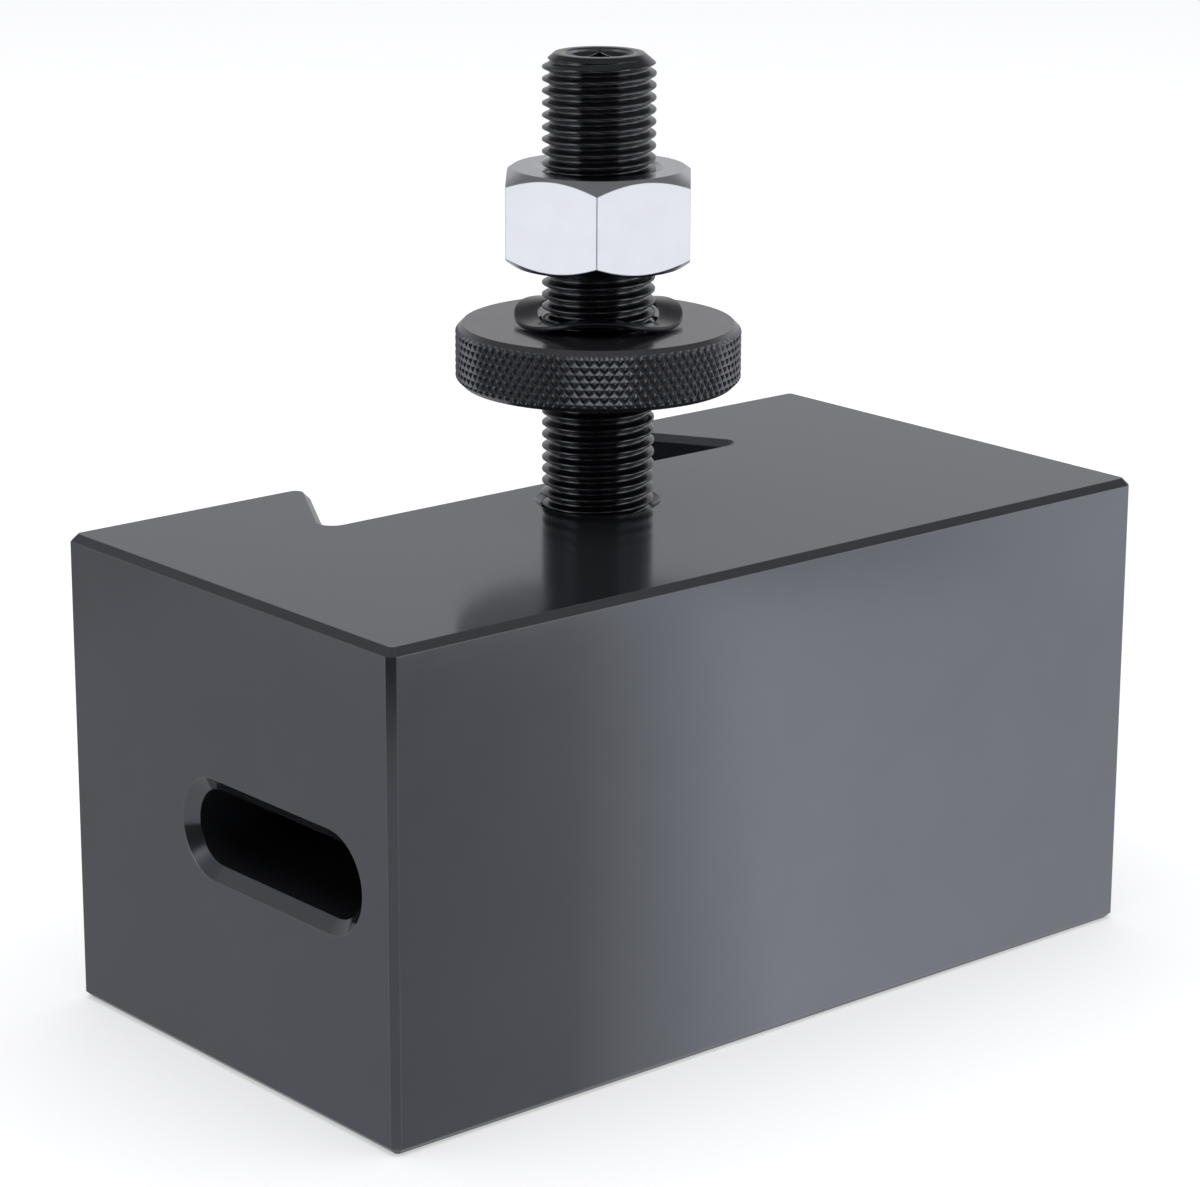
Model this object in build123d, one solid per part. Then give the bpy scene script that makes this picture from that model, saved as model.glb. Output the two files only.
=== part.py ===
"""Quick change tool post holder with a tapered socket, in millimetres.

The holder is a ground steel block. A vertical dovetail groove in its back
face slides onto the tool post, a No. 3 taper socket runs in from the right
end, and a slot in the left end lets the tool's tang and a drift through.
A stud in the top carries the knurled nut that sets the height of the tool,
a wave washer that lies on that nut, and the hex nut that locks it.

Frame: +X along the block towards the socket's mouth, +Y towards the tool
post, +Z up. The origin is at the centre of the underside.
"""
from build123d import *
from math import cos, pi, radians, sin, tan
import os

# Block
BLOCK_LENGTH = 101.6
BLOCK_DEPTH = 54.4
BLOCK_HEIGHT = 50.8
EDGE_CHAMFER = 0.75

# Dovetail groove, open at the top and the bottom of the back face
DOVETAIL_MOUTH = 40.5
DOVETAIL_DEPTH = 14.7
DOVETAIL_UNDERCUT = 30.0  # degrees between a flank and the groove's depth
DOVETAIL_LIP_RADIUS = 1.6
DOVETAIL_ROOT_RADIUS = 1.0

# Taper socket, No. 3, with its axis at half the block's height
SOCKET_SETBACK = 19.65  # from the front face to the axis
SOCKET_MOUTH_DIAMETER = 23.825
SOCKET_TAPER = 0.0502  # loss of diameter for each millimetre of depth
SOCKET_LENGTH = 84.0
SOCKET_MOUTH_CHAMFER = 0.8

# Tang slot, an obround in the left end that meets the socket
SLOT_WIDTH = 27.0
SLOT_HEIGHT = 8.0
SLOT_OVERLAP = 4.4  # past the small end of the socket
SLOT_LEAD_IN = 1.4  # widening on each side at the end face
SLOT_LEAD_DEPTH = 1.1

# Stud, M12, with the thread drawn as its crest cylinder
STUD_SETBACK = 30.1  # from the front face to the axis
STUD_DIAMETER = 11.85
STUD_LENGTH = 60.0
STUD_ENGAGEMENT = 12.6  # screwed into the block
STUD_TIP_INSET = 1.25
STUD_TIP_HEIGHT = 1.05
STUD_HOLE_CLEARANCE = 0.03  # radial
DRILL_POINT_ANGLE = 118.0
HOLE_COUNTERSINK_DIAMETER = 13.5

# Hex key socket in the top of the stud
KEY_ACROSS_FLATS = 6.0
KEY_DEPTH = 6.0
KEY_LEAD_IN = 0.35
KEY_TURN = -10.5  # degrees from +X to a corner of the hexagon

# Both nuts run on the stud
NUT_CLEARANCE = 0.06  # radial
NUT_COUNTERSINK = 0.7

# Knurled height nut
HEIGHT_NUT_DIAMETER = 30.0
HEIGHT_NUT_THICKNESS = 6.4
HEIGHT_NUT_CHAMFER = 0.75
HEIGHT_NUT_STANDOFF = 12.8  # from the block's top to the nut's underside

# Wave washer, pressed from spring steel
WASHER_OUTER_DIAMETER = 17.7
WASHER_INNER_DIAMETER = 12.7
WASHER_THICKNESS = 0.5
WASHER_WAVES = 3
WASHER_WAVE_HEIGHT = 1.1  # from valley to crest
WASHER_TURN = -130.5  # degrees from +X to a crest
WASHER_SEAT_GAP = 0.1  # from the height nut's top to the valleys

# Hex lock nut
LOCK_NUT_ACROSS_FLATS = 19.0
LOCK_NUT_THICKNESS = 10.1
LOCK_NUT_FACE_DIAMETER = 18.1  # flat ring inside the end chamfers
LOCK_NUT_CHAMFER_ANGLE = 35.0  # degrees from the end faces
LOCK_NUT_STANDOFF = 25.5  # from the block's top to the nut's underside
LOCK_NUT_TURN = -131.5  # degrees from +X to a corner

# Places that follow from the sizes
FRONT = -BLOCK_DEPTH / 2
BACK = BLOCK_DEPTH / 2
SOCKET_Y = FRONT + SOCKET_SETBACK
SOCKET_Z = BLOCK_HEIGHT / 2
STUD_Y = FRONT + STUD_SETBACK
STUD_FOOT_Z = BLOCK_HEIGHT - STUD_ENGAGEMENT
SLOT_DEPTH = BLOCK_LENGTH - SOCKET_LENGTH + SLOT_OVERLAP
HEIGHT_NUT_Z = BLOCK_HEIGHT + HEIGHT_NUT_STANDOFF
WASHER_Z = HEIGHT_NUT_Z + HEIGHT_NUT_THICKNESS + WASHER_SEAT_GAP
LOCK_NUT_Z = BLOCK_HEIGHT + LOCK_NUT_STANDOFF
RIGHT_END = Plane(origin=(BLOCK_LENGTH / 2, SOCKET_Y, SOCKET_Z), x_dir=(0, 1, 0), z_dir=(-1, 0, 0))
LEFT_END = Plane(origin=(-BLOCK_LENGTH / 2, SOCKET_Y, SOCKET_Z), x_dir=(0, 1, 0), z_dir=(1, 0, 0))


def turned(profile, z):
    """Revolve a half section of (radius, height) points about the stud's axis."""
    outline = make_face(Polyline(*[(r, 0, h) for r, h in profile], close=True))
    return Pos(0, STUD_Y, z) * revolve(outline, Axis.Z)


def hexagon(across_flats, corner_angle):
    """Make a hexagon with one corner at the given angle from +X."""
    return RegularPolygon(across_flats / 2, 6, major_radius=False, rotation=corner_angle)


def plan_outline():
    """Draw the block seen from above, with the dovetail groove in its back."""
    half_mouth = DOVETAIL_MOUTH / 2
    half_root = half_mouth + DOVETAIL_DEPTH * tan(radians(DOVETAIL_UNDERCUT))
    groove_y = BACK - DOVETAIL_DEPTH
    groove = Polygon((-half_mouth, BACK), (-half_root, groove_y), (half_root, groove_y),
                     (half_mouth, BACK), align=None)
    outline = Rectangle(BLOCK_LENGTH, BLOCK_DEPTH) - groove
    corners = outline.vertices()
    ends = corners.filter_by(lambda v: abs(v.X) > half_root + DOVETAIL_ROOT_RADIUS)
    lips = corners.filter_by(lambda v: v.Y > groove_y + DOVETAIL_DEPTH / 2) - ends
    roots = corners - ends - lips
    outline = chamfer(ends, EDGE_CHAMFER)
    outline = fillet(nearest(outline, lips), DOVETAIL_LIP_RADIUS)
    return fillet(nearest(outline, roots), DOVETAIL_ROOT_RADIUS)


def nearest(outline, corners):
    """Find the outline's vertices that lie at the given corners."""
    return [outline.vertices().sort_by_distance(corner)[0] for corner in corners]


def block_blank():
    """Extrude the plan and bevel the outlines of its top and underside."""
    blank = extrude(plan_outline(), BLOCK_HEIGHT)
    levels = blank.faces().filter_by(Axis.Z).sort_by(Axis.Z)
    return chamfer(levels[0].edges() + levels[-1].edges(), EDGE_CHAMFER)


def taper_socket():
    """Cut the taper from the right end, with a bevelled mouth."""
    mouth = SOCKET_MOUTH_DIAMETER / 2
    small = mouth - SOCKET_LENGTH * SOCKET_TAPER / 2
    up = (Align.CENTER, Align.CENTER, Align.MIN)
    bevel = Cone(mouth + SOCKET_MOUTH_CHAMFER, mouth, SOCKET_MOUTH_CHAMFER, align=up)
    return RIGHT_END * (Cone(mouth, small, SOCKET_LENGTH, align=up) + bevel)


def tang_slot():
    """Cut the obround slot from the left end, with its lead-in."""
    mouth = SlotOverall(SLOT_WIDTH + 2 * SLOT_LEAD_IN, SLOT_HEIGHT + 2 * SLOT_LEAD_IN)
    throat = SlotOverall(SLOT_WIDTH, SLOT_HEIGHT)
    lead_in = loft([mouth, Pos(0, 0, SLOT_LEAD_DEPTH) * throat])
    return LEFT_END * (extrude(throat, SLOT_DEPTH) + lead_in)


def stud_hole():
    """Cut the tapped hole for the stud, with its countersink and drill point."""
    radius = STUD_DIAMETER / 2 + STUD_HOLE_CLEARANCE
    rim = HOLE_COUNTERSINK_DIAMETER / 2
    point = radius / tan(radians(DRILL_POINT_ANGLE / 2))
    return turned([(0, -point), (radius, 0), (radius, STUD_ENGAGEMENT - (rim - radius)),
                   (rim, STUD_ENGAGEMENT), (0, STUD_ENGAGEMENT)], STUD_FOOT_Z)


def holder_body():
    """Make the block with its groove, socket, slot and tapped hole."""
    return block_blank() - taper_socket() - tang_slot() - stud_hole()


def height_stud():
    """Make the stud, bevelled at both ends and socketed for a hex key."""
    radius = STUD_DIAMETER / 2
    tip = radius - STUD_TIP_INSET
    bar = turned([(0, 0), (tip, 0), (radius, STUD_TIP_HEIGHT), (radius, STUD_LENGTH - STUD_TIP_HEIGHT),
                  (tip, STUD_LENGTH), (0, STUD_LENGTH)], STUD_FOOT_Z)
    corner = KEY_ACROSS_FLATS / 2 / cos(pi / 6)
    key = Pos(0, STUD_Y, STUD_FOOT_Z + STUD_LENGTH) * extrude(hexagon(KEY_ACROSS_FLATS, KEY_TURN), -KEY_DEPTH)
    lead_in = turned([(0, -corner), (corner, -KEY_LEAD_IN), (corner, 0), (0, 0)], STUD_FOOT_Z + STUD_LENGTH)
    return bar - key - lead_in


def nut_bore(thickness):
    """List the inner side of a nut's half section, countersunk at both faces."""
    bore = STUD_DIAMETER / 2 + NUT_CLEARANCE
    rim = bore + NUT_COUNTERSINK
    return [(rim, 0), (bore, NUT_COUNTERSINK), (bore, thickness - NUT_COUNTERSINK), (rim, thickness)]


def knurled_height_nut():
    """Turn the round nut that stops the holder at its height."""
    edge = HEIGHT_NUT_DIAMETER / 2
    top = HEIGHT_NUT_THICKNESS
    rim = [(edge - HEIGHT_NUT_CHAMFER, top), (edge, top - HEIGHT_NUT_CHAMFER),
           (edge, HEIGHT_NUT_CHAMFER), (edge - HEIGHT_NUT_CHAMFER, 0)]
    return turned(nut_bore(top) + rim, HEIGHT_NUT_Z)


def wave_line(radius):
    """Draw one closed edge of the washer, which rises and falls with its angle."""
    steps = 12 * WASHER_WAVES
    points = []
    for step in range(steps):
        angle = 2 * pi * step / steps
        height = WASHER_WAVE_HEIGHT / 2 * (1 + cos(WASHER_WAVES * angle))
        points.append((radius * cos(angle), radius * sin(angle), height))
    return Spline(*points, periodic=True)


def wave_washer():
    """Press the ring into its waves, with the valleys on the height nut."""
    inner = wave_line(WASHER_INNER_DIAMETER / 2)
    outer = wave_line(WASHER_OUTER_DIAMETER / 2)
    sheet = Face.make_surface_from_curves(outer.edge(), inner.edge())
    ring = extrude(sheet, WASHER_THICKNESS, dir=(0, 0, 1))
    return Pos(0, STUD_Y, WASHER_Z) * Rot(0, 0, WASHER_TURN) * ring


def hex_lock_nut():
    """Cut a hexagon bar to length and turn a cone on both of its ends."""
    top = LOCK_NUT_THICKNESS
    face = LOCK_NUT_FACE_DIAMETER / 2
    reach = LOCK_NUT_ACROSS_FLATS / 2 / cos(pi / 6)
    drop = (reach - face) * tan(radians(LOCK_NUT_CHAMFER_ANGLE))
    turning = turned(nut_bore(top) + [(face, top), (reach, top - drop), (reach, drop), (face, 0)], LOCK_NUT_Z)
    bar = Pos(0, STUD_Y, LOCK_NUT_Z) * extrude(hexagon(LOCK_NUT_ACROSS_FLATS, LOCK_NUT_TURN), top)
    return bar & turning


os.makedirs("parts", exist_ok=True)
for make in (holder_body, height_stud, knurled_height_nut, wave_washer, hex_lock_nut):
    export_step(make(), f"parts/{make.__name__}.step")
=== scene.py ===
"""The looks of a quick change tool post holder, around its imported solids.

The block and the hex nut keep their solids and get their finishes here. The
stud gets its thread, the height nut its diamond knurl and the washer its
pressed waves. Lengths are in metres, in the frame of the solids.
"""

import logging
from dataclasses import dataclass, field
from enum import Enum
from math import ceil, cos, pi, radians, sin
from typing import Callable, Dict, List, Optional, Sequence, Tuple

import bpy
from mathutils import Matrix, Vector


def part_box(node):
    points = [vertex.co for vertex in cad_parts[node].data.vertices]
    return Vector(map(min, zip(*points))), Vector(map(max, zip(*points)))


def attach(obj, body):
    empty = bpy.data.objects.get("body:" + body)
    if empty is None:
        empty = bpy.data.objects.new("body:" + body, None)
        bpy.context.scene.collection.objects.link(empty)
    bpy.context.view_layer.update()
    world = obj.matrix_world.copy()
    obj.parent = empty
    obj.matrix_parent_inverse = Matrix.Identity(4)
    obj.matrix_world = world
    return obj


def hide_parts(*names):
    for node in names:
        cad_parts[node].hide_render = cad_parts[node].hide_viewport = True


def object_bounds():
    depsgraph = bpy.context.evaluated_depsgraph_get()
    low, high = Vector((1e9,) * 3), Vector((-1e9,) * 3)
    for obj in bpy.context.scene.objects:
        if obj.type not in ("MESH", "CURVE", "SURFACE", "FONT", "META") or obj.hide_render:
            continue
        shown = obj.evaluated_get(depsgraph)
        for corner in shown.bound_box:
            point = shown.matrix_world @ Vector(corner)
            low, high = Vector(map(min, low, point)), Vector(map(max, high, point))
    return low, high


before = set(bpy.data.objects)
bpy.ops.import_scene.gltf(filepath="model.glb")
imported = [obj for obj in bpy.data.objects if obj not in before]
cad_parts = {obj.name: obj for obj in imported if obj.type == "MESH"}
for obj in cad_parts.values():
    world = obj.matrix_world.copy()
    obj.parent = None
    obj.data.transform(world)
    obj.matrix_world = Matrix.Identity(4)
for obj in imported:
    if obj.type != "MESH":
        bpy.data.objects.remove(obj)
CAD_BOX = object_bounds()

log = logging.getLogger("tool_holder")
logging.basicConfig(level=logging.INFO, format="%(name)s: %(message)s")

MM = 0.001
TURN = 2 * pi
Point = Tuple[float, float, float]
Radius = Callable[[float], float]
Ring = Tuple[Radius, float]

MARK_STRETCH = 60  # length of a grinding mark over its width
EDGE_WEAR_AND_HIGHLIGHT_STARTS = 0.995  # cosine between rounded and true normal where an edge starts to pale: partly wear, partly a painted highlight
EDGE_WEAR_AND_HIGHLIGHT_FULL = 0.93  # the same where the edge is fully paled
SPREAD_RANGE = (0.6, 1.4)  # sum of mottle and marks that spans the roughness


def linear(colour: str) -> Tuple[float, float, float, float]:
    """Turn an sRGB hex colour into Blender's linear colour.

    Args:
        colour: Six hex digits after a hash.

    Returns:
        Linear red, green and blue, and an alpha of 1.
    """
    parts = [int(colour[at:at + 2], 16) / 255 for at in (1, 3, 5)]
    red, green, blue = [part / 12.92 if part <= 0.04045 else ((part + 0.055) / 1.055) ** 2.4
                        for part in parts]
    return red, green, blue, 1.0


def per_metre(size_mm: float) -> float:
    """Give the texture scale at which one repeat of a pattern has this real size."""
    return 1 / (size_mm * MM)


def add_node(tree: bpy.types.NodeTree, kind: str, inputs: Optional[Dict] = None,
             **settings) -> bpy.types.Node:
    """Add one node, with its settings, its values and its links.

    Args:
        tree: The material's or world's node tree.
        kind: Blender's name for the node type.
        inputs: A value, or a socket to link from, for each input by name or number.
        **settings: Properties of the node itself.

    Returns:
        The new node.
    """
    node = tree.nodes.new(kind)
    for name, value in settings.items():
        setattr(node, name, value)
    for name, value in (inputs or {}).items():
        if isinstance(value, bpy.types.NodeSocket):
            tree.links.new(value, node.inputs[name])
        else:
            node.inputs[name].default_value = value
    return node


class Place(Enum):
    """How a machined surface's tool marks run."""

    GROUND = "ground"
    TURNED = "turned"
    PLAIN = "plain"


@dataclass(frozen=True)
class MetalFinish:
    """A metal part's finish, as its base metal, its coating and its tool marks leave it."""

    name: str
    colour: str
    mottle_colour: str
    # pale colour of the edges: partly wear, partly a painted highlight
    edge_wear_and_highlight_colour: str
    metallic: float
    roughness: float
    roughness_spread: float
    marks: Place
    mark_width_mm: float
    mark_depth_mm: float
    mottle_mm: float
    edge_mm: float
    coat: float = 0.0
    axis: Tuple[float, float] = (0.0, 0.0)

    def material(self) -> bpy.types.Material:
        """Build the material.

        Returns:
            A material whose colour, roughness and relief come from procedural nodes.
        """
        material = bpy.data.materials.new(self.name)
        material.use_nodes = True
        tree = material.node_tree
        tree.nodes.clear()
        where = add_node(tree, "ShaderNodeTexCoord").outputs["Object"]
        mottle = self.mottle(tree, where)
        marks = self.tool_marks(tree, where)
        edge = add_node(tree, "ShaderNodeBevel", {"Radius": self.edge_mm * MM}, samples=6)
        shader = add_node(tree, "ShaderNodeBsdfPrincipled", {
            "Base Color": self.worn_and_highlit_colour(tree, mottle, edge.outputs["Normal"]),
            "Metallic": self.metallic,
            "Roughness": self.polish(tree, mottle, marks),
            "Coat Weight": self.coat,
            "Normal": add_node(tree, "ShaderNodeBump", {
                "Height": marks, "Distance": self.mark_depth_mm * MM, "Strength": 1.0,
                "Normal": edge.outputs["Normal"]}).outputs["Normal"]})
        add_node(tree, "ShaderNodeOutputMaterial", {"Surface": shader.outputs["BSDF"]})
        return material

    def mottle(self, tree: bpy.types.NodeTree, where: bpy.types.NodeSocket) -> bpy.types.NodeSocket:
        """Draw the uneven depth of the coating.

        Args:
            tree: The material's node tree.
            where: Position on the object, in metres.

        Returns:
            A socket with values round 0.5.
        """
        noise = add_node(tree, "ShaderNodeTexNoise", {
            "Vector": where, "Scale": per_metre(self.mottle_mm), "Detail": 5.0, "Roughness": 0.6})
        return noise.outputs["Fac"]

    def tool_marks(self, tree: bpy.types.NodeTree, where: bpy.types.NodeSocket) -> bpy.types.NodeSocket:
        """Draw the marks that the wheel or the lathe tool left.

        Args:
            tree: The material's node tree.
            where: Position on the object, in metres.

        Returns:
            A socket with the height of the marks, from 0 to 1.
        """
        fine = per_metre(self.mark_width_mm)
        if self.marks is Place.GROUND:
            long = fine / MARK_STRETCH
            along = add_node(tree, "ShaderNodeMapping", {"Vector": where, "Scale": (long, fine, fine)})
            across = add_node(tree, "ShaderNodeMapping", {"Vector": where, "Scale": (fine, long, fine)})
            facing = add_node(tree, "ShaderNodeSeparateXYZ", {
                "Vector": add_node(tree, "ShaderNodeNewGeometry").outputs["True Normal"]})
            end_face = add_node(tree, "ShaderNodeMath", {0: facing.outputs["X"]}, operation="ABSOLUTE")
            where = add_node(tree, "ShaderNodeMix", {
                "Factor": end_face.outputs["Value"], 4: along.outputs["Vector"], 5: across.outputs["Vector"]},
                data_type="VECTOR").outputs[1]
            scale = 1.0
        elif self.marks is Place.TURNED:
            x, y = self.axis
            centred = add_node(tree, "ShaderNodeVectorMath", {0: where, 1: (x, y, 0.0)}, operation="SUBTRACT")
            flat = add_node(tree, "ShaderNodeVectorMath", {
                0: centred.outputs["Vector"], 1: (1.0, 1.0, 0.0)}, operation="MULTIPLY")
            reach = add_node(tree, "ShaderNodeVectorMath", {0: flat.outputs["Vector"]}, operation="LENGTH")
            height = add_node(tree, "ShaderNodeSeparateXYZ", {"Vector": where})
            where = add_node(tree, "ShaderNodeCombineXYZ", {
                "X": reach.outputs["Value"], "Y": height.outputs["Z"]}).outputs["Vector"]
            scale = fine
        else:
            scale = fine
        noise = add_node(tree, "ShaderNodeTexNoise", {
            "Vector": where, "Scale": scale, "Detail": 3.0, "Roughness": 0.55})
        return noise.outputs["Fac"]

    def worn_and_highlit_colour(self, tree: bpy.types.NodeTree, mottle: bpy.types.NodeSocket,
                    rounded: bpy.types.NodeSocket) -> bpy.types.NodeSocket:
        """Mottle the colour and pale it along the edges: partly rubbed wear, partly a painted highlight.

        Args:
            tree: The material's node tree.
            mottle: The coating's unevenness.
            rounded: Normals that are rounded near the edges.

        Returns:
            A socket with the base colour.
        """
        body = add_node(tree, "ShaderNodeMix", {
            "Factor": mottle, 6: linear(self.colour), 7: linear(self.mottle_colour)}, data_type="RGBA")
        sharp = add_node(tree, "ShaderNodeNewGeometry").outputs["True Normal"]
        agree = add_node(tree, "ShaderNodeVectorMath", {0: rounded, 1: sharp}, operation="DOT_PRODUCT")
        rubbed_and_highlit = add_node(tree, "ShaderNodeMapRange", {
            "Value": agree.outputs["Value"], "From Min": EDGE_WEAR_AND_HIGHLIGHT_STARTS, "From Max": EDGE_WEAR_AND_HIGHLIGHT_FULL})
        # painted highlight: the edges are paled partly for wear and partly for the light that they catch
        worn_and_highlit = add_node(tree, "ShaderNodeMix", {
            "Factor": rubbed_and_highlit.outputs["Result"], 6: body.outputs[2], 7: linear(self.edge_wear_and_highlight_colour)},
            data_type="RGBA")
        return worn_and_highlit.outputs[2]

    def polish(self, tree: bpy.types.NodeTree, mottle: bpy.types.NodeSocket,
               marks: bpy.types.NodeSocket) -> bpy.types.NodeSocket:
        """Spread the roughness with the coating and the tool marks.

        Args:
            tree: The material's node tree.
            mottle: The coating's unevenness.
            marks: The height of the tool marks.

        Returns:
            A socket with the roughness.
        """
        mixed = add_node(tree, "ShaderNodeMath", {0: mottle, 1: marks}, operation="ADD")
        spread = add_node(tree, "ShaderNodeMapRange", {
            "Value": mixed.outputs["Value"], "From Min": SPREAD_RANGE[0], "From Max": SPREAD_RANGE[1],
            "To Min": self.roughness - self.roughness_spread,
            "To Max": self.roughness + self.roughness_spread})
        return spread.outputs["Result"]


# Tool steel, surface ground and blackened in a hot salt bath: the thin oxide
# lets the ground metal mirror its surroundings softly and dimly.
GROUND_OXIDE = MetalFinish(
    name="ground_black_oxide_steel", colour="#74777f", mottle_colour="#7b7e86", edge_wear_and_highlight_colour="#a3a5ab",
    metallic=0.9, roughness=0.13, roughness_spread=0.025, marks=Place.GROUND, mark_width_mm=0.35,
    mark_depth_mm=0.0006, mottle_mm=9.0, edge_mm=0.12)


def turned_oxide(name: str, colour: str, mottle_colour: str, roughness: float,
                 axis: Tuple[float, float]) -> MetalFinish:
    """Describe a turned steel part, blackened and oiled, which keeps it glossy.

    Args:
        name: The material's name.
        colour: The oxide's colour.
        mottle_colour: Its colour where the oxide is thicker.
        roughness: How dull its gloss is.
        axis: Place of the lathe's axis.

    Returns:
        The finish.
    """
    return MetalFinish(
        name=name, colour=colour, mottle_colour=mottle_colour, edge_wear_and_highlight_colour="#8d9097", metallic=0.9,
        roughness=roughness, roughness_spread=0.03, marks=Place.TURNED, mark_width_mm=0.18,
        mark_depth_mm=0.0008, mottle_mm=4.0, edge_mm=0.05, coat=0.25, axis=axis)


# Mild steel with bright zinc plate: pale, cool and mirror-like, with the faint
# waviness of the plating.
ZINC = MetalFinish(
    name="bright_zinc_plate", colour="#e9ecf3", mottle_colour="#e2e6ef", edge_wear_and_highlight_colour="#f4f5f9",
    metallic=1.0, roughness=0.16, roughness_spread=0.03, marks=Place.PLAIN, mark_width_mm=0.8,
    mark_depth_mm=0.0012, mottle_mm=3.0, edge_mm=0.18)


def lathe(name: str, centre: Tuple[float, float], rings: Sequence[Ring], steps: int, start: float = 0.0,
          closed: bool = True, crease: int = 0) -> bpy.types.Object:
    """Build a mesh from rings about a vertical axis.

    Args:
        name: The object's name.
        centre: Place of the axis.
        rings: A radius for each angle, and a height, for each ring in turn.
        steps: Points round each ring.
        start: Angle of the first point.
        closed: Whether the last ring joins the first; otherwise both ends are filled.
        crease: Count of steps between the ridges of a lattice that the diagonals follow, or 0.

    Returns:
        The new object, linked to the scene.
    """
    x, y = centre
    angles = [start + TURN * step / steps for step in range(steps)]
    points = [(x + radius(angle) * cos(angle), y + radius(angle) * sin(angle), height)
              for radius, height in rings for angle in angles]
    faces: List[Tuple[int, ...]] = []
    for row in range(len(rings) if closed else len(rings) - 1):
        low, high = row * steps, (row + 1) % len(rings) * steps
        for step in range(steps):
            beside = (step + 1) % steps
            quad = (low + step, low + beside, high + beside, high + step)
            if not crease:
                faces.append(quad)
            elif (step - row) % crease == 0:
                faces += [quad[:3], (quad[0], quad[2], quad[3])]
            else:
                faces += [(quad[0], quad[1], quad[3]), quad[1:]]
    if not closed:
        faces.append(tuple(reversed(range(steps))))
        faces.append(tuple(range((len(rings) - 1) * steps, len(rings) * steps)))
    mesh = bpy.data.meshes.new(name)
    mesh.from_pydata(points, [], faces)
    mesh.update()
    piece = bpy.data.objects.new(name, mesh)
    bpy.context.scene.collection.objects.link(piece)
    return piece


def smooth_by_angle(piece: bpy.types.Object, limit_degrees: float) -> None:
    """Shade smooth, with sharp edges where faces meet at more than the limit.

    Args:
        piece: The object.
        limit_degrees: The largest angle that is still smoothed.
    """
    piece.data.shade_smooth()
    piece.data.set_sharp_from_angle(angle=radians(limit_degrees))


def circle(radius: float) -> Radius:
    """Give a ring the same radius at each angle."""
    return lambda angle: radius


def wave(phase: float) -> float:
    """Give a triangle wave: 1 at whole numbers and 0 halfway between them."""
    return abs((phase % 1) - 0.5) * 2


@dataclass
class Node:
    """The place and size of one of the solids, read from the frame."""

    name: str
    low: Vector = field(init=False)
    high: Vector = field(init=False)

    def __post_init__(self) -> None:
        """Read the solid's box."""
        low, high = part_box(self.name)
        self.low = Vector(low)
        self.high = Vector(high)

    @property
    def radius(self) -> float:
        """Give half the solid's length along X."""
        return (self.high.x - self.low.x) / 2

    def dress(self, piece: bpy.types.Object, body: str, slot: str, finish: MetalFinish) -> None:
        """Put a piece in the solid's place, on its body and in its finish.

        Args:
            piece: The piece that stands for the solid.
            body: The body that it rides on.
            slot: Not used.
            finish: What it is made of.
        """
        piece.data.materials.append(finish.material())
        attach(piece, body)
        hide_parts(self.name)
        log.info("%s: %d faces, in place of %s", piece.name, len(piece.data.polygons), self.name)


@dataclass
class KeptSolid:
    """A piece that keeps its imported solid: the ground block or the zinc-plated hex nut."""

    node: str
    finish: MetalFinish

    def dress(self) -> None:
        """Give the solid its finish."""
        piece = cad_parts[self.node]
        piece.data.materials.clear()
        piece.data.materials.append(self.finish.material())
        log.info("%s: finished as %s", self.node, self.finish.name)


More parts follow.
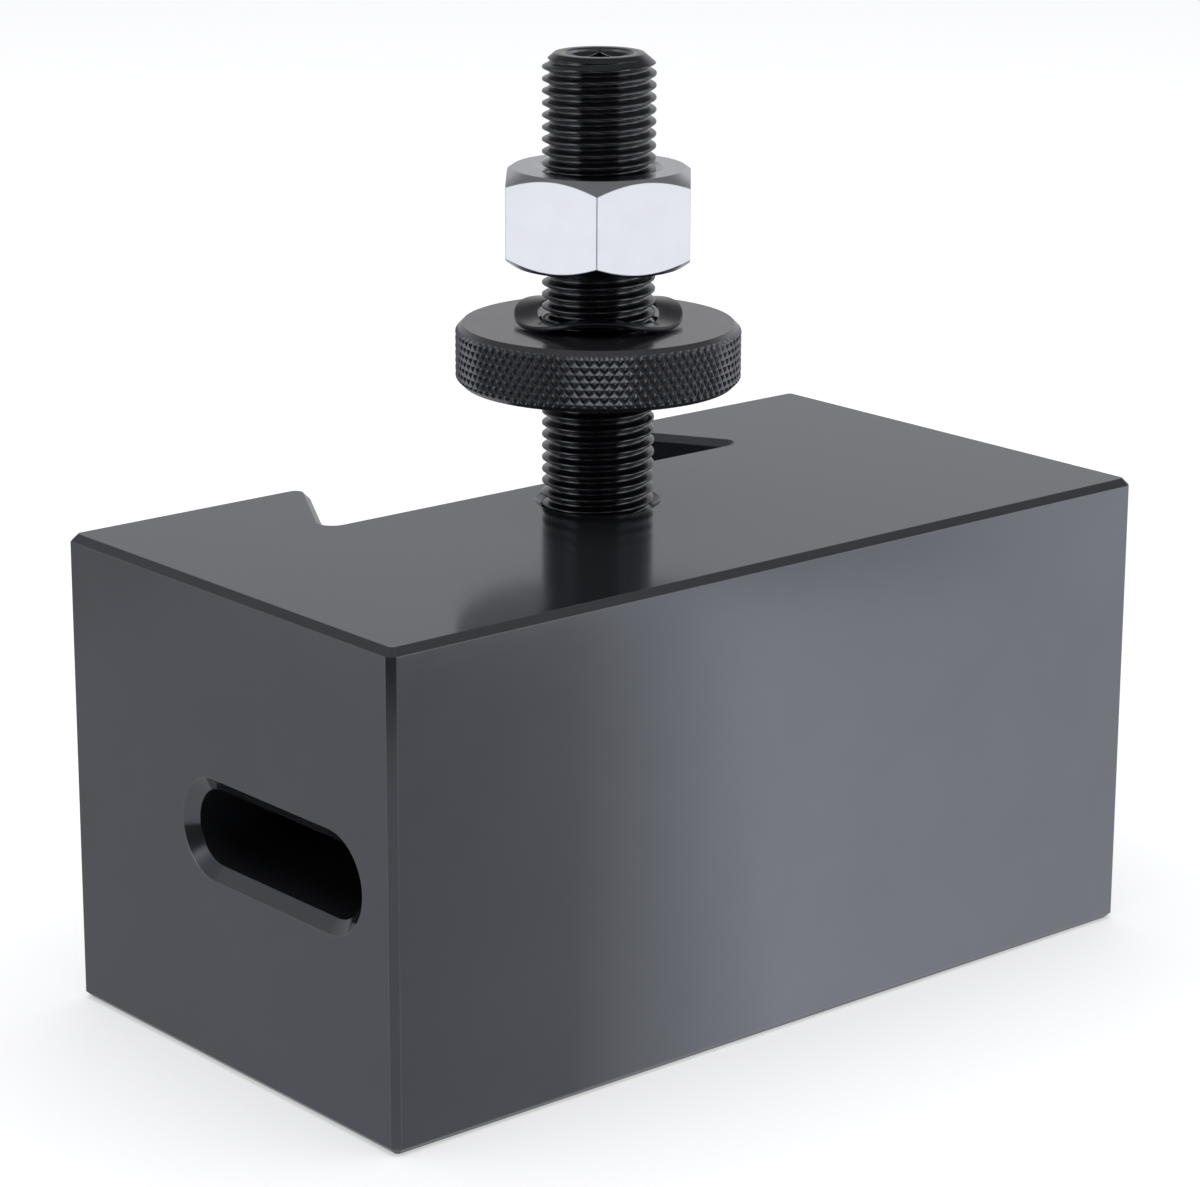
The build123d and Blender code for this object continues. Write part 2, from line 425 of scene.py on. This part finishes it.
@dataclass
class HeightStud:
    """The M12 fine stud, with a right-hand thread and a hex key socket."""

    pitch: float = 1.25 * MM
    thread_depth: float = 0.77 * MM
    crest_share: float = 0.14
    thread_foot: float = 1.6 * MM
    tip_inset: float = 1.25 * MM
    tip_height: float = 1.05 * MM
    key_across_flats: float = 6.0 * MM
    key_depth: float = 6.0 * MM
    key_lead_in: float = 0.35 * MM
    key_turn: float = radians(-10.5)
    mouth_break: float = 0.12 * MM
    drill_point_radius: float = 0.3 * MM
    drill_point_depth: float = 1.2 * MM
    foot_chamfer: float = 0.4 * MM
    crease_degrees: float = 50.0
    steps: int = 96
    rows_per_pitch: int = 16
    solid: Node = field(default_factory=lambda: Node("height_stud"))

    @property
    def axis(self) -> Tuple[float, float]:
        """Give the place of the stud's axis."""
        middle = (self.solid.low + self.solid.high) / 2
        return middle.x, middle.y

    def thread(self, height: float) -> Radius:
        """Give the radius round a level of the thread, cut back by the cone of the tip.

        Args:
            height: The level.

        Returns:
            The radius at each angle.
        """
        crest = self.solid.radius
        cone = crest - self.tip_inset * (1 - (self.solid.high.z - height) / self.tip_height)

        def radius(angle: float) -> float:
            """Give the radius at one angle."""
            phase = height / self.pitch - angle / TURN
            flank = (wave(phase) - self.crest_share) / (1 - 2 * self.crest_share)
            flank = min(max(flank, 0.0), 1.0)
            rounded = flank * flank * (3 - 2 * flank)
            return min(crest - self.thread_depth * (1 - (flank + rounded) / 2), cone)
        return radius

    def key_socket(self) -> List[Ring]:
        """List the rings of the hex key socket, from its mouth to its floor.

        Returns:
            Rings whose radius follows the hexagon below the round lead-in.
        """
        flat = self.key_across_flats / 2
        corner = flat / cos(pi / 6)
        top = self.solid.high.z

        def hexagon(least: float) -> Radius:
            """Give the hexagon's radius, and at least the lead-in's."""
            return lambda angle: max(
                least, flat / cos((angle - self.key_turn) % (pi / 3) - pi / 6))
        rings: List[Ring] = [
            (circle(corner + self.mouth_break), top), (circle(corner), top - self.mouth_break),
            (circle(corner), top - self.key_lead_in)]
        cone_rows = 6
        for row in range(1, cone_rows + 1):
            drop = (corner - flat) * row / cone_rows
            rings.append((hexagon(corner - drop), top - self.key_lead_in - drop))
        rings.append((hexagon(0.0), top - self.key_depth))
        rings.append((circle(self.drill_point_radius), top - self.key_depth - self.drill_point_depth))
        return rings

    def build(self, block_top: float) -> bpy.types.Object:
        """Build the stud.

        Args:
            block_top: Level of the block's top, just below which the modelled thread starts.

        Returns:
            The stud's object.
        """
        root = self.solid.radius - self.thread_depth
        foot = self.solid.low.z
        start = block_top - self.thread_foot
        rings: List[Ring] = [
            (circle(root - self.foot_chamfer), foot), (circle(root), foot + self.foot_chamfer),
            (circle(root), start)]
        rows = ceil((self.solid.high.z - start) / self.pitch * self.rows_per_pitch)
        for row in range(rows + 1):
            height = start + (self.solid.high.z - start) * row / rows
            rings.append((self.thread(height), height))
        rings += self.key_socket()
        stud = lathe("threaded_stud", self.axis, rings, self.steps, self.key_turn, closed=False)
        smooth_by_angle(stud, self.crease_degrees)
        return stud


@dataclass
class HeightNut:
    """The round height nut with its diamond knurl."""

    knurl_pitch: float = 1.047 * MM
    diamond_height: float = 1.55 * MM
    knurl_depth: float = 0.30 * MM
    knurl_flat: float = 0.82
    chamfer: float = 0.75 * MM
    bore_radius: float = 5.985 * MM
    countersink: float = 0.7 * MM
    cells: int = 8
    solid: Node = field(default_factory=lambda: Node("knurled_height_nut"))

    def band(self, height: float) -> Radius:
        """Give the radius round one level of the knurled band.

        Args:
            height: The level.

        Returns:
            The radius at each angle: diamonds, cut back by the bevels.
        """
        edge = self.solid.radius
        teeth = round(TURN * edge / self.knurl_pitch)
        rise = (height - (self.solid.low.z + self.solid.high.z) / 2) / self.diamond_height
        room = min(height - self.solid.low.z, self.solid.high.z - height)
        bevel = edge - max(self.chamfer - room, 0.0)

        def radius(angle: float) -> float:
            """Give the radius at one angle."""
            round_it = teeth * angle / TURN
            diamond = min(wave(round_it + rise), wave(round_it - rise), self.knurl_flat) / self.knurl_flat
            return min(edge - self.knurl_depth * (1 - diamond), bevel)
        return radius

    def build(self) -> bpy.types.Object:
        """Build the nut.

        Returns:
            The nut's object.
        """
        low, high = self.solid.low.z, self.solid.high.z
        middle = (low + high) / 2
        step = self.diamond_height / self.cells
        reach = int((high - low - 2 * self.chamfer) / 2 / step)
        levels = [low, low + self.chamfer / 2] + [middle + step * row for row in range(-reach - 2, reach + 3)]
        levels += [high - self.chamfer / 2, high]
        levels = sorted(set(levels))
        rings: List[Ring] = [(self.band(level), level) for level in levels]
        rim = self.bore_radius + self.countersink
        rings += [(circle(rim), high), (circle(self.bore_radius), high - self.countersink),
                  (circle(self.bore_radius), low + self.countersink), (circle(rim), low)]
        teeth = round(TURN * self.solid.radius / self.knurl_pitch)
        middle_point = (self.solid.low + self.solid.high) / 2
        return lathe("diamond_knurled_nut", (middle_point.x, middle_point.y), rings, teeth * self.cells,
                     crease=self.cells // 2)


@dataclass
class WaveWasher:
    """The wave washer, pressed from black spring steel."""

    inner_radius: float = 6.35 * MM
    thickness: float = 0.5 * MM
    waves: int = 3
    crest_turn: float = radians(-130.5)
    edge_round: float = 0.14 * MM
    arc_steps: int = 3
    crease_degrees: float = 35.0
    steps: int = 180
    solid: Node = field(default_factory=lambda: Node("wave_washer"))

    def build(self) -> bpy.types.Object:
        """Build the washer as a rounded section that rises and falls round the ring.

        Returns:
            The washer's object.
        """
        middle = (self.solid.low + self.solid.high) / 2
        rise = self.solid.high.z - self.solid.low.z - self.thickness
        section = self.section()
        points: List[Point] = []
        faces: List[Tuple[int, ...]] = []
        for step in range(self.steps):
            angle = TURN * step / self.steps
            level = self.solid.low.z + rise / 2 * (1 + cos(self.waves * (angle - self.crest_turn)))
            points += [(middle.x + reach * cos(angle), middle.y + reach * sin(angle), level + height)
                       for reach, height in section]
            here, beside = step * len(section), (step + 1) % self.steps * len(section)
            for corner in range(len(section)):
                after = (corner + 1) % len(section)
                faces.append((here + corner, beside + corner, beside + after, here + after))
        mesh = bpy.data.meshes.new("spring_washer")
        mesh.from_pydata(points, [], faces)
        mesh.update()
        washer = bpy.data.objects.new("spring_washer", mesh)
        bpy.context.scene.collection.objects.link(washer)
        smooth_by_angle(washer, self.crease_degrees)
        return washer

    def section(self) -> List[Tuple[float, float]]:
        """List the corners of the washer's section, each rounded with an arc.

        Returns:
            Radius and height of each point, anticlockwise.
        """
        inner, outer = self.inner_radius, self.solid.radius
        soft = self.edge_round
        corners = [(outer - soft, soft, -90), (outer - soft, self.thickness - soft, 0),
                   (inner + soft, self.thickness - soft, 90), (inner + soft, soft, 180)]
        points = []
        for reach, height, turn in corners:
            for part in range(self.arc_steps + 1):
                angle = radians(turn + 90 / self.arc_steps * part)
                points.append((reach + soft * cos(angle), height + soft * sin(angle)))
        return points


@dataclass(frozen=True)
class PhotoCamera:
    """The photograph's camera, fitted to the edges of the block."""

    place: Point = (-0.25695, -0.29807, 0.15367)
    azimuth: float = radians(-40.53)
    elevation: float = radians(15.97)
    roll: float = radians(-0.23)
    focal_length_px: float = 3856.0
    width_px: float = 1200.0

    def build(self) -> None:
        """Add the camera and make it the scene's own."""
        back = Vector((sin(self.azimuth) * cos(self.elevation), -cos(self.azimuth) * cos(self.elevation),
                       sin(self.elevation)))
        level = Vector((0, 0, 1)).cross(back).normalized()
        upright = back.cross(level)
        right = level * cos(self.roll) - upright * sin(self.roll)
        upward = level * sin(self.roll) + upright * cos(self.roll)
        lens = bpy.data.cameras.new("photo_camera")
        lens.sensor_width = 36.0
        lens.lens = self.focal_length_px / self.width_px * lens.sensor_width
        camera = bpy.data.objects.new("photo_camera", lens)
        turned = Matrix((right, upward, back)).transposed().to_4x4()
        camera.matrix_world = Matrix.Translation(self.place) @ turned
        bpy.context.scene.collection.objects.link(camera)
        bpy.context.scene.camera = camera


def graded(tree: bpy.types.NodeTree, value: bpy.types.NodeSocket,
           levels: Sequence[Tuple[float, float]]) -> bpy.types.NodeSocket:
    """Grade a value from 0 to 1 into a brightness.

    Args:
        tree: The node tree to add to.
        value: The value to grade.
        levels: Place and brightness of each stop, the first at 0 and the last at 1.

    Returns:
        A socket with the brightness, where 1 is white.
    """
    ramp = add_node(tree, "ShaderNodeValToRGB", {"Fac": value})
    stops = ramp.color_ramp.elements
    for count, (place, level) in enumerate(levels):
        stop = stops[0] if count == 0 else stops[-1] if place == 1 else stops.new(place)
        stop.color = (level, level, level, 1.0)
    return ramp.outputs["Color"]


@dataclass(frozen=True)
class Surround:
    """What stands round the object: a sweep, two soft screens and a dark card on one side."""

    dark_bearing: float = radians(-130.5)
    overhead: float = 0.16
    screens: Tuple[Tuple[float, float], ...] = (
        (0, 0.02), (0.117, 0.03), (0.144, 1.0), (0.19, 1.0), (0.214, 0.5), (0.256, 1.0), (0.347, 0.6),
        (0.5, 0.45), (0.653, 0.35), (0.728, 0.33), (0.767, 0.5), (0.806, 1.0), (0.856, 1.0), (0.883, 0.03),
        (1, 0.02))
    near_floor: Tuple[Tuple[float, float], ...] = (
        (0, 0.3), (0.14, 0.33), (0.3, 0.38), (0.52, 1.0), (0.83, 0.92), (1, 0.9))
    near_start: float = -0.07
    near_width: float = 0.1
    near_slant: Point = (0.76, 0.65, 0.0)
    front: float = -0.0272
    behind: float = 0.38
    near_reach: Tuple[float, float] = (0.17, 0.22)

    def floor_strength(self, tree: bpy.types.NodeTree, place: bpy.types.NodeSocket) -> bpy.types.NodeSocket:
        """Give the floor's brightness in mirrors.

        It is graded in front of the block and even behind it, and farther out it follows the
        surround.

        Args:
            tree: The node tree to add to.
            place: Place on the floor.

        Returns:
            A socket with the brightness, where 1 is white.
        """
        slant = add_node(tree, "ShaderNodeVectorMath", {0: place, 1: self.near_slant},
                         operation="DOT_PRODUCT")
        along = add_node(tree, "ShaderNodeMapRange", {
            "Value": slant.outputs["Value"], "From Min": self.near_start,
            "From Max": self.near_start + self.near_width})
        part = add_node(tree, "ShaderNodeSeparateXYZ", {"Vector": place})
        in_front = add_node(tree, "ShaderNodeMath", {0: part.outputs["Y"], 1: self.front},
                            operation="LESS_THAN")
        dim = self.behind
        near = add_node(tree, "ShaderNodeMix", {
            "Factor": in_front.outputs["Value"], 6: (dim, dim, dim, 1.0),
            7: graded(tree, along.outputs["Result"], self.near_floor)}, data_type="RGBA")
        reach = add_node(tree, "ShaderNodeVectorMath", {0: place}, operation="LENGTH")
        far = add_node(tree, "ShaderNodeMapRange", {
            "Value": reach.outputs["Value"], "From Min": self.near_reach[0], "From Max": self.near_reach[1]},
            interpolation_type="SMOOTHSTEP")
        return add_node(tree, "ShaderNodeMix", {
            "Factor": far.outputs["Result"], 6: near.outputs[2], 7: self.strength(tree, place)},
            data_type="RGBA").outputs[2]

    def strength(self, tree: bpy.types.NodeTree, direction: bpy.types.NodeSocket) -> bpy.types.NodeSocket:
        """Give the brightness in each direction along the horizon.

        Args:
            tree: The node tree to add to.
            direction: Direction, or place on the floor, seen from the object.

        Returns:
            A socket with the brightness, where 1 is white.
        """
        part = add_node(tree, "ShaderNodeSeparateXYZ", {"Vector": direction})
        bearing = add_node(tree, "ShaderNodeMath", {0: part.outputs["Y"], 1: part.outputs["X"]},
                           operation="ARCTAN2")
        share = add_node(tree, "ShaderNodeMath", {
            0: bearing.outputs["Value"], 1: 1 / TURN, 2: -self.dark_bearing / TURN}, operation="MULTIPLY_ADD")
        around = add_node(tree, "ShaderNodeMath", {0: share.outputs["Value"]}, operation="FRACT")
        return graded(tree, around.outputs["Value"], self.screens)


@dataclass
class Studio:
    """A pale floor and a white background, lit by a soft top light and the surround."""

    floor_size: float = 6.0
    floor_colour: str = "#e9eaee"
    floor_lift: float = 0.5
    top_light_size: float = 1.6
    top_light_height: float = 1.3
    top_light_radiance: float = 1.5
    dim_from: float = 0.3
    dim_to: float = 0.62
    surround: Surround = Surround()

    def build(self) -> None:
        """Add the floor, the world and the top light."""
        self.floor()
        self.world()
        self.top_light()

    def top_light(self) -> None:
        """Add the soft light overhead, which lights the floor and isn't mirrored in the steel."""
        lamp = bpy.data.lights.new("top_light", "AREA")
        lamp.shape = "SQUARE"
        lamp.size = self.top_light_size
        lamp.energy = self.top_light_radiance * pi * self.top_light_size ** 2
        box = bpy.data.objects.new("top_light", lamp)
        box.location = (0.0, 0.0, self.top_light_height)
        box.visible_glossy = False
        bpy.context.scene.collection.objects.link(box)

    def floor(self) -> None:
        """Add the floor, white to the camera and graded by place in the metal's reflections."""
        half = self.floor_size / 2
        level = CAD_BOX[0][2]
        mesh = bpy.data.meshes.new("studio_floor")
        corners = [(-half, -half, level), (half, -half, level), (half, half, level), (-half, half, level)]
        mesh.from_pydata(corners, [], [(0, 1, 2, 3)])
        floor = bpy.data.objects.new("studio_floor", mesh)
        bpy.context.scene.collection.objects.link(floor)
        material = bpy.data.materials.new("studio_floor")
        material.use_nodes = True
        tree = material.node_tree
        tree.nodes.clear()
        path = add_node(tree, "ShaderNodeLightPath")
        paper = add_node(tree, "ShaderNodeBsdfDiffuse", {"Color": linear(self.floor_colour)})
        lift = add_node(tree, "ShaderNodeMath", {0: path.outputs["Is Camera Ray"], 1: self.floor_lift},
                        operation="MULTIPLY")
        glow = add_node(tree, "ShaderNodeEmission", {"Strength": lift.outputs["Value"]})
        seen = add_node(tree, "ShaderNodeAddShader", {0: paper.outputs["BSDF"], 1: glow.outputs["Emission"]})
        where = add_node(tree, "ShaderNodeTexCoord").outputs["Object"]
        mirrored = add_node(tree, "ShaderNodeEmission", {"Color": self.surround.floor_strength(tree, where)})
        both = add_node(tree, "ShaderNodeMixShader", {
            "Fac": path.outputs["Is Glossy Ray"], 1: seen.outputs["Shader"], 2: mirrored.outputs["Emission"]})
        add_node(tree, "ShaderNodeOutputMaterial", {"Surface": both.outputs["Shader"]})
        floor.data.materials.append(material)

    def world(self) -> None:
        """Light the scene from the surround, which is dim overhead; the camera sees white."""
        world = bpy.data.worlds.new("studio")
        bpy.context.scene.world = world
        world.use_nodes = True
        tree = world.node_tree
        tree.nodes.clear()
        where = add_node(tree, "ShaderNodeTexCoord").outputs["Generated"]
        facing = add_node(tree, "ShaderNodeSeparateXYZ", {"Vector": where})
        overhead = add_node(tree, "ShaderNodeMapRange", {
            "Value": facing.outputs["Z"], "From Min": self.dim_from, "From Max": self.dim_to},
            interpolation_type="SMOOTHSTEP")
        dim = self.surround.overhead
        sweep = add_node(tree, "ShaderNodeMix", {
            "Factor": overhead.outputs["Result"], 6: self.surround.strength(tree, where),
            7: (dim, dim, dim, 1.0)}, data_type="RGBA")
        seen = add_node(tree, "ShaderNodeLightPath").outputs["Is Camera Ray"]
        colour = add_node(tree, "ShaderNodeMix", {
            "Factor": seen, 6: sweep.outputs[2], 7: (1.0, 1.0, 1.0, 1.0)}, data_type="RGBA")
        light = add_node(tree, "ShaderNodeBackground", {"Color": colour.outputs[2]})
        add_node(tree, "ShaderNodeOutputWorld", {"Surface": light.outputs["Background"]})


def main() -> None:
    """Set up the camera and the studio, then dress the holder's pieces in order."""
    bpy.context.scene.view_settings.view_transform = "Standard"
    PhotoCamera().build()
    Studio().build()
    KeptSolid("holder_body", GROUND_OXIDE).dress()
    KeptSolid("hex_lock_nut", ZINC).dress()
    stud = HeightStud()
    stud.solid.dress(stud.build(Node("holder_body").high.z), "holder", "black_hardware",
                     turned_oxide("oiled_black_oxide_stud", "#55565b", "#46474c", 0.14, stud.axis))
    nut = HeightNut()
    nut.solid.dress(nut.build(), "height_nut", "black_hardware",
                    turned_oxide("oiled_black_oxide_nut", "#7e7f85", "#6f7076", 0.17, stud.axis))
    washer = WaveWasher()
    washer.solid.dress(washer.build(), "washer", "spring_steel",
                       turned_oxide("black_spring_steel", "#46484d", "#3a3b40", 0.2, stud.axis))


if __name__ == "__main__":
    main()
